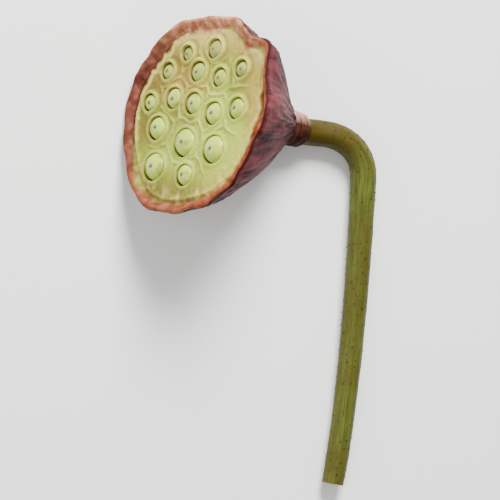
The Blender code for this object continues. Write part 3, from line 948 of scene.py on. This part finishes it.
def seed_paint():
    """Fresh lotus nut skin, grown: smooth and waxy, pale green round a small dark tip. Painted light and
    shade: a pale grey sheen by the tip, a yellower side to the right, and shade low down and on the lower
    side.
    """
    looks = {"Roughness": 0.34, "IOR": 1.45}
    material, tree, skin, coords = new_paint("Fresh lotus nut skin, grown", looks)
    local = add(tree, "ShaderNodeAttribute", give="Vector", attribute_name="local")
    rightward, downward, height = add(tree, "ShaderNodeSeparateXYZ", {0: local}).node.outputs
    off_tip, dull = (
        add(tree, "ShaderNodeAttribute", give="Fac", attribute_name=name) for name in ("off_tip", "dull")
    )
    blush, smudge = (
        add(tree, "ShaderNodeTexNoise", {"Vector": coords, "Scale": 1 / size, "Detail": detail})
        for size, detail in ((NUT_CLOUD, 2), (NUT_SMUDGE, 1))
    )
    # A painted pale grey sheen round the tip, only on the side of each nut to the left of the picture.
    halo = add(tree, "ShaderNodeMapRange", {0: off_tip, 1: 2.8, 2: 1.0, 4: 0.6})
    sunny = add(tree, "ShaderNodeMapRange", {0: rightward, 1: -0.3, 2: 0.2})
    tip_sheen = add(tree, "ShaderNodeMath", {0: halo, 1: sunny}, operation="MULTIPLY")
    colour = lay_tints(tree, linear("a0bc3c"), (
        ("b6cb50", blush, 0.35, 0.65, 1.0),
        # Painted light: the side of each nut to the right of the picture is painted yellower and brighter.
        ("b0bc2e", rightward, 0.1, -0.75, 0.75),
        # Painted shade on the lower side of each nut in the picture.
        ("86a434", downward, 0.2, 0.9, 0.55),
        ("b6ba8a", tip_sheen, 0, 1, 1.0),
        ("2f3226", off_tip, 1.3, 0.5, 0.95),
        ("85823e", dull, 0, 1, 0.8),
        ("5c702a", smudge, 0.54, 0.68, 0.6),
        # Painted shade low down on each nut, where it sits in its cell.
        ("4f5c20", height, 0.30, 0.0, 1.0),
    ))
    tree.links.new(colour, skin["Base Color"])
    return material


def stalk_paint():
    """Fresh lotus stalk skin, grown: smooth, olive green, streaked along it, with dark prickles and scars."""
    looks = {"Roughness": 0.5, "IOR": 1.45, "Specular IOR Level": 0.15}
    material, tree, skin, coords = new_paint("Fresh lotus stalk skin, grown", looks)
    names = ("along", "turn", "prickle")
    along, turn, prickle = (
        add(tree, "ShaderNodeAttribute", give="Fac", attribute_name=name) for name in names
    )
    across = add(tree, "ShaderNodeMath", {0: turn}, operation="COSINE")
    upward = add(tree, "ShaderNodeMath", {0: turn}, operation="SINE")
    radii_long = 0.001 / STEM_RADIUS / STALK_STRETCH
    length = add(tree, "ShaderNodeMath", {0: along, 1: radii_long}, operation="MULTIPLY")
    skin_map = add(tree, "ShaderNodeCombineXYZ", {0: across, 1: upward, 2: length})
    short_map = add(tree, "ShaderNodeVectorMath", {0: skin_map, 1: (1, 1, 6)}, operation="MULTIPLY")
    streak, patch, scars = (
        add(tree, "ShaderNodeTexNoise", {"Vector": place, "Scale": scale, "Detail": detail})
        for place, scale, detail in (
            (skin_map, STEM_RADIUS / STALK_STREAK, 3),
            (coords, 1 / STALK_PATCH, 3),
            (short_map, STEM_RADIUS / STALK_SCAR, 1),
        )
    )
    colour = lay_tints(tree, linear("3e4216"), (
        ("565f20", streak, 0.35, 0.65, 1.0),
        ("443e12", patch, 0.35, 0.65, 0.75),
        ("42360a", along, 45.0, 12.0, 1.0),
        ("2b2610", scars, 0.66, 0.72, 0.7),
        ("26220f", prickle, 0, 1, 1.0),
    ))
    tree.links.new(colour, skin["Base Color"])
    return material


def new_geometry_tree(name, values):
    """An empty geometry tree with an input for each named value: the tree and the sockets of its inputs."""
    tree = bpy.data.node_groups.new(name, "GeometryNodeTree")
    for way in ("INPUT", "OUTPUT"):
        tree.interface.new_socket("Geometry", in_out=way, socket_type="NodeSocketGeometry")
    for label, value in values.items():
        tree.interface.new_socket(label, in_out="INPUT", socket_type=SOCKET_KINDS[type(value)])
    return tree, tree.nodes.new("NodeGroupInput").outputs


def finish_tree(tree, geometry, skin):
    """End a tree with real, painted geometry."""
    real = add(tree, "GeometryNodeRealizeInstances", {0: geometry})
    painted = add(tree, "GeometryNodeSetMaterial", {"Geometry": real, "Material": skin})
    tree.links.new(painted, tree.nodes.new("NodeGroupOutput").inputs[0])


def grow(name, data, tree, values):
    """Run a geometry tree on an object's data with its named inputs set, and keep the plain mesh."""
    carrier = bpy.data.objects.new(name, data)
    bpy.context.scene.collection.objects.link(carrier)
    modifier = carrier.modifiers.new(tree.name, "NODES")
    modifier.node_group = tree
    for label, value in values.items():
        modifier[tree.interface.items_tree[label].identifier] = value
    bpy.context.view_layer.update()
    evaluated = carrier.evaluated_get(bpy.context.evaluated_depsgraph_get())
    mesh = bpy.data.meshes.new_from_object(evaluated)
    bpy.data.objects.remove(carrier)
    return mesh


def nut_body(tree, need, place, down, up):
    """An egg wider than it is high, flatter on top, narrower at its lower end and a little uneven."""
    ball = add(tree, "GeometryNodeMeshUVSphere", {"Segments": 44, "Rings": 30, "Radius": 1.0})
    above = add(tree, "ShaderNodeMath", {0: up, 1: 0.0}, operation="GREATER_THAN")
    height = add(tree, "ShaderNodeMix", {0: above, 2: need["Depth"], 3: need["Top"]})
    radius = add(tree, "ShaderNodeMath", {0: need["Width"], 1: 0.5}, operation="MULTIPLY")
    drop = add(tree, "ShaderNodeMath", {0: down, 1: 0.0}, operation="MAXIMUM")
    drop = add(tree, "ShaderNodeMath", {0: drop, 1: drop}, operation="MULTIPLY")
    lost = add(tree, "ShaderNodeMath", {0: drop, 1: need["Taper"]}, operation="MULTIPLY")
    kept = add(tree, "ShaderNodeMath", {0: 1.0, 1: lost}, operation="SUBTRACT")
    across = add(tree, "ShaderNodeMath", {0: radius, 1: kept}, operation="MULTIPLY")
    size = add(tree, "ShaderNodeCombineXYZ", {0: across, 1: radius, 2: height})
    shaped = add(tree, "ShaderNodeVectorMath", {0: place, 1: size}, operation="MULTIPLY")
    settings = {"Vector": place, "W": need["Seed"], "Scale": 0.9, "Detail": 1}
    lump = add(tree, "ShaderNodeTexNoise", settings, noise_dimensions="4D")
    lump = add(tree, "ShaderNodeMath", {0: lump, 1: 0.5}, operation="SUBTRACT")
    lump = add(tree, "ShaderNodeMath", {0: lump, 1: need["Unevenness"]}, operation="MULTIPLY")
    offset = add(tree, "ShaderNodeVectorMath", {0: place, "Scale": lump}, operation="SCALE")
    settings = {"Geometry": ball, "Name": "local", "Value": place}
    marked = add(tree, "GeometryNodeStoreNamedAttribute", settings, data_type="FLOAT_VECTOR")
    return add(tree, "GeometryNodeSetPosition", {"Geometry": marked, "Position": shaped, "Offset": offset})


def nut_tip(tree, need):
    """The nub of the stigma on top of a nut."""
    nub = add(tree, "GeometryNodeMeshUVSphere", {"Segments": 12, "Rings": 8, "Radius": 1.0})
    girth = need["Tip radius"]
    scale = add(tree, "ShaderNodeCombineXYZ", {0: girth, 1: girth, 2: need["Tip height"]})
    at_top = add(tree, "ShaderNodeCombineXYZ", {2: need["Top"]})
    return add(tree, "GeometryNodeTransform", {"Geometry": nub, "Translation": at_top, "Scale": scale})


def seed_tree(values):
    """A nut with its nub. Each point keeps how far across it lies from the tip, in millimetres."""
    tree, need = new_geometry_tree("lotus_nut", values)
    place = add(tree, "GeometryNodeInputPosition")
    _, down, up = add(tree, "ShaderNodeSeparateXYZ", {0: place}).node.outputs
    parts = [nut_tip(tree, need), nut_body(tree, need, place, down, up)]
    nut = add(tree, "GeometryNodeJoinGeometry", {0: parts})
    flat = add(tree, "ShaderNodeVectorMath", {0: place, 1: (1000, 1000, 0)}, operation="MULTIPLY")
    off_tip = add(tree, "ShaderNodeVectorMath", {0: flat}, give="Value", operation="LENGTH")
    under = add(tree, "ShaderNodeMath", {0: up, 1: 0.0}, operation="LESS_THAN")
    off_tip = add(tree, "ShaderNodeMath", {0: under, 1: 100.0, 2: off_tip}, operation="MULTIPLY_ADD")
    for name, value in (("off_tip", off_tip), ("dull", need["Dullness"])):
        nut = add(tree, "GeometryNodeStoreNamedAttribute", {"Geometry": nut, "Name": name, "Value": value})
    smooth = add(tree, "GeometryNodeSetShadeSmooth", {"Geometry": nut})
    finish_tree(tree, smooth, need["Skin"])
    return tree


def stem_route():
    """Four control points of the stalk: point, direction, handle length and radius."""
    placement = pod_placement()
    neck = placement @ Vector((0, NECK_SHIFT, RING_END + SOCKET_DEPTH - STEM_GAP))
    down_axis = placement.to_3x3() @ Vector((0, 0, -1))
    level = Vector((math.cos(STEM_HEADING), math.sin(STEM_HEADING), 0))
    settled = neck + STEM_LEVEL_RUN * level
    settled.z = STEM_RADIUS
    turned = settled + STEM_BEND_RADIUS * Vector((1, -1, 0))
    turned.z = STEM_RADIUS
    end = turned + Vector((STEM_DRIFT, -STEM_RUN, 0))
    end.z = STEM_END_RADIUS
    finish = Vector((2 * STEM_DRIFT, -STEM_RUN, 0)).normalized()
    places = (neck, settled, turned, end)
    directions = (down_axis, level, Vector((0, -1, 0)), finish)
    runs = (STEM_LEVEL_RUN, STEM_BEND_RADIUS, STEM_BEND_RADIUS, STEM_RUN)
    handles = [run * share for run, share in zip(runs, STEM_HANDLES)]
    radii = (STEM_RADIUS, STEM_RADIUS, STEM_RADIUS, STEM_END_RADIUS)
    return list(zip(places, directions, handles, radii))


def stem_curve():
    """The line that the stalk grows along."""
    curve = bpy.data.curves.new("stalk_line", "CURVE")
    curve.dimensions = "3D"
    curve.twist_mode = "Z_UP"
    curve.resolution_u = 32
    spline = curve.splines.new("BEZIER")
    route = stem_route()
    spline.bezier_points.add(len(route) - 1)
    spline.radius_interpolation = "EASE"
    for point, (place, direction, handle, radius) in zip(spline.bezier_points, route):
        point.handle_left_type = "FREE"
        point.handle_right_type = "FREE"
        point.co = place
        point.handle_left = place - handle * direction
        point.handle_right = place + handle * direction
        point.radius = radius
    return curve


def roughened(tree, need, tube, along, normal):
    """The tube with its ribs, and with lumps that begin a little way out of the socket."""
    turned = add(tree, "GeometryNodeInputNamedAttribute", {"Name": "turn"})
    rib = add(tree, "ShaderNodeMath", {0: turned, 1: need["Ribs"]}, operation="MULTIPLY")
    rib = add(tree, "ShaderNodeMath", {0: rib}, operation="COSINE")
    rib = add(tree, "ShaderNodeMath", {0: rib, 1: need["Rib depth"]}, operation="MULTIPLY")
    place = add(tree, "GeometryNodeInputPosition")
    lump = add(tree, "ShaderNodeTexNoise", {"Vector": place, "Scale": STEM_LUMPS_A_METRE, "Detail": 2})
    lump = add(tree, "ShaderNodeMath", {0: lump, 1: 0.5}, operation="SUBTRACT")
    settings = {0: along, 1: STEM_LUMPS_FROM_MM, 2: STEM_LUMPS_FULL_MM, 4: need["Lump depth"]}
    depth = add(tree, "ShaderNodeMapRange", settings)
    height = add(tree, "ShaderNodeMath", {0: lump, 1: depth, 2: rib}, operation="MULTIPLY_ADD")
    offset = add(tree, "ShaderNodeVectorMath", {0: normal, "Scale": height}, operation="SCALE")
    return add(tree, "GeometryNodeSetPosition", {"Geometry": tube, "Offset": offset})


def drilled(tree, need, tube, end, ahead):
    """The tube with its air channels open at the cut end."""
    smooth = add(tree, "GeometryNodeSetShadeSmooth", {"Geometry": tube})
    aim = add(tree, "FunctionNodeAlignRotationToVector", {"Vector": ahead}, axis="Z")
    settings = {"Vertices": need["Channels"], "Radius": need["Channel ring"]}
    spots = add(tree, "GeometryNodeMeshCircle", settings)
    length = add(tree, "ShaderNodeMath", {0: need["Channel depth"], 1: 2.0}, operation="MULTIPLY")
    settings = {"Vertices": CHANNEL_SIDES, "Radius": need["Channel radius"], "Depth": length}
    drill = add(tree, "GeometryNodeMeshCylinder", settings)
    drills = add(tree, "GeometryNodeInstanceOnPoints", {"Points": spots, "Instance": drill})
    drills = add(tree, "GeometryNodeRealizeInstances", {"Geometry": drills})
    drills = add(tree, "GeometryNodeTransform", {"Geometry": drills, "Translation": end, "Rotation": aim})
    return add(tree, "GeometryNodeMeshBoolean", {"Mesh 1": smooth, "Mesh 2": drills}, operation="DIFFERENCE")


def prickles(tree, need, tube, along, normal, ahead):
    """Prickles scattered over the tube, off its bare neck and its cut end."""
    past_neck = add(tree, "ShaderNodeMath", {0: along, 1: BARE_NECK_MM}, operation="GREATER_THAN")
    facing = add(tree, "ShaderNodeVectorMath", {0: normal, 1: ahead}, give="Value", operation="DOT_PRODUCT")
    off_cap = add(tree, "ShaderNodeMath", {0: facing, 1: CAP_FACING}, operation="LESS_THAN")
    wanted = add(tree, "ShaderNodeMath", {0: past_neck, 1: off_cap}, operation="MULTIPLY")
    settings = {
        "Mesh": tube,
        "Selection": wanted,
        "Distance Min": need["Prickle gap"],
        "Density Max": PRICKLE_DENSITY,
        "Seed": need["Seed"],
    }
    dots = add(tree, "GeometryNodeDistributePointsOnFaces", settings, distribute_method="POISSON")
    settings = {
        "Vertices": PRICKLE_SIDES,
        "Radius Top": PRICKLE_POINT,
        "Radius Bottom": need["Prickle radius"],
        "Depth": need["Prickle length"],
    }
    thorn = add(tree, "GeometryNodeMeshCone", settings)
    thorn = add(tree, "GeometryNodeStoreNamedAttribute", {"Geometry": thorn, "Name": "prickle", "Value": 1.0})
    smallest, largest = PRICKLE_SIZES
    size = add(tree, "FunctionNodeRandomValue", {2: smallest, 3: largest, "Seed": need["Seed"]}, give=1)
    upright = dots.node.outputs["Rotation"]
    settings = {"Points": dots, "Instance": thorn, "Rotation": upright, "Scale": size}
    return add(tree, "GeometryNodeInstanceOnPoints", settings)


def stalk_tree(values):
    """A stalk along a line: ribbed skin, air channels in its cut end, and prickles scattered over it."""
    tree, need = new_geometry_tree("lotus_stalk", values)
    settings = {"Curve": need["Geometry"], "Length": need["Step"]}
    line = add(tree, "GeometryNodeResampleCurve", settings, mode="LENGTH")
    hoop = add(tree, "GeometryNodeCurvePrimitiveCircle", {"Resolution": need["Sides"], "Radius": 1.0})
    share, travel, _ = add(tree, "GeometryNodeSplineParameter").node.outputs
    travel = add(tree, "ShaderNodeMath", {0: travel, 1: 1000.0}, operation="MULTIPLY")
    turn = add(tree, "ShaderNodeMath", {0: share, 1: 2 * math.pi}, operation="MULTIPLY")
    line, hoop = (
        add(tree, "GeometryNodeStoreNamedAttribute", {"Geometry": curve, "Name": name, "Value": value})
        for curve, name, value in ((line, "along", travel), (hoop, "turn", turn))
    )
    thickness = add(tree, "GeometryNodeInputRadius")
    settings = {"Curve": line, "Profile Curve": hoop, "Scale": thickness, "Fill Caps": True}
    tube = add(tree, "GeometryNodeCurveToMesh", settings)
    along = add(tree, "GeometryNodeInputNamedAttribute", {"Name": "along"})
    normal = add(tree, "GeometryNodeInputNormal")
    tube = roughened(tree, need, tube, along, normal)
    settings = {"Curves": line, "Factor": 1.0}
    end = add(tree, "GeometryNodeSampleCurve", settings, give="Position", mode="FACTOR", use_all_curves=True)
    ahead = end.node.outputs["Tangent"]
    opened = drilled(tree, need, tube, end, ahead)
    thorns = prickles(tree, need, tube, along, normal, ahead)
    stalk = add(tree, "GeometryNodeJoinGeometry", {0: [thorns, opened]})
    finish_tree(tree, stalk, need["Skin"])
    return tree


def show(name, mesh, node):
    """Put a finished mesh in the scene in place of its CAD node."""
    piece = bpy.data.objects.new(name, mesh)
    bpy.context.scene.collection.objects.link(piece)
    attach(piece, "root")
    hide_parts(node)


def add_pod(sites):
    """The spongy pod with its seed face, rim, pleated side and neck ring."""
    mesh = pod_skin_mesh(sites)
    mesh.materials.append(pod_paint())
    show("pod", mesh, "receptacle")


def nut_sizes(number, place, radius, skin):
    """Inputs of the nut's tree. The nuts at the top of the face are the dull ones."""
    return {
        "Width": 2 * radius,
        "Top": 2 * radius * SEED_TOP,
        "Depth": 2 * radius * SEED_DEPTH,
        "Tip radius": SEED_TIP_RADIUS,
        "Tip height": SEED_TIP_HEIGHT,
        "Unevenness": SEED_UNEVENNESS,
        "Taper": EGG_TAPER,
        "Seed": float(number),
        "Dullness": max(0.0, min(1.0, -place.y / DULL_FROM)),
        "Skin": skin,
    }


def add_seeds(sites):
    """A nut in every cell, each with its own size, lean and lumps."""
    skin = seed_paint()
    tree = None
    for number, (place, lean, radius) in enumerate(sites, 1):
        sizes = nut_sizes(number, place, radius, skin)
        tree = tree or seed_tree(sizes)
        mesh = grow("nut", bpy.data.meshes.new("nut"), tree, sizes)
        mesh.transform(pod_placement() @ Matrix.Translation(place) @ lean.to_matrix().to_4x4())
        show(f"nut_{number:02d}", mesh, f"seed_{number:02d}")


def add_stalk():
    """The cut stalk, from its socket in the neck ring to its open end."""
    sizes = {**STALK_SIZES, "Skin": stalk_paint()}
    mesh = grow("stalk", stem_curve(), stalk_tree(sizes), sizes)
    for point in mesh.vertices:
        point.co.z = max(point.co.z, 0)
    show("stalk", mesh, "stem")


def add_table():
    """A plain pale table, large enough to fill the view."""
    mesh = bpy.data.meshes.new("table")
    corners = [(x * TABLE_REACH, y * TABLE_REACH, 0) for x, y in ((-1, -1), (1, -1), (1, 1), (-1, 1))]
    mesh.from_pydata(corners, [], [(0, 1, 2, 3)])
    looks = {"Base Color": linear("f6f6f4"), "Roughness": 0.9}
    mesh.materials.append(new_paint("Matt white laminate, moulded", looks)[0])
    table = bpy.data.objects.new("table", mesh)
    bpy.context.scene.collection.objects.link(table)


def add_lamp(name, from_direction, size, power):
    """A soft square lamp that looks at the middle of the part."""
    lamp = bpy.data.lights.new(name, "AREA")
    lamp.size = size
    lamp.energy = power
    obj = bpy.data.objects.new(name, lamp)
    obj.location = VIEW_MIDDLE + LAMP_DISTANCE * from_direction.normalized()
    obj.rotation_euler = from_direction.to_track_quat("Z", "Y").to_euler()
    bpy.context.scene.collection.objects.link(obj)


def add_light():
    """Soft studio light: a broad key from above the picture, a weaker fill, and a pale room."""
    add_lamp("key", KEY_FROM, KEY_SIZE, KEY_POWER)
    add_lamp("fill", FILL_FROM, FILL_SIZE, FILL_POWER)
    world = bpy.data.worlds.new("room")
    world.use_nodes = True
    background = world.node_tree.nodes["Background"].inputs
    background["Color"].default_value = (1, 1, 1, 1)
    background["Strength"].default_value = ROOM_STRENGTH
    bpy.context.scene.world = world


def add_camera():
    """A long lens from the photo's viewing angle, with the whole part in view."""
    lens = bpy.data.cameras.new("camera")
    camera = bpy.data.objects.new("camera", lens)
    back = VIEW_FROM.normalized()
    up = Vector((0, 1, 0))
    right = up.cross(back)
    turn = Matrix((right, up, back)).transposed().to_4x4()
    camera.matrix_world = Matrix.Translation(VIEW_MIDDLE + VIEW_DISTANCE * back) @ turn
    lens.lens = lens.sensor_width * VIEW_DISTANCE / VIEW_HEIGHT
    lens.clip_end = 10
    bpy.context.scene.collection.objects.link(camera)
    bpy.context.scene.camera = camera


def main():
    """Dress the pod, its nuts and its stalk, and set them on the lit table."""
    sites = seed_sites()
    add_pod(sites)
    add_seeds(sites)
    add_stalk()
    add_table()
    add_light()
    add_camera()


main()
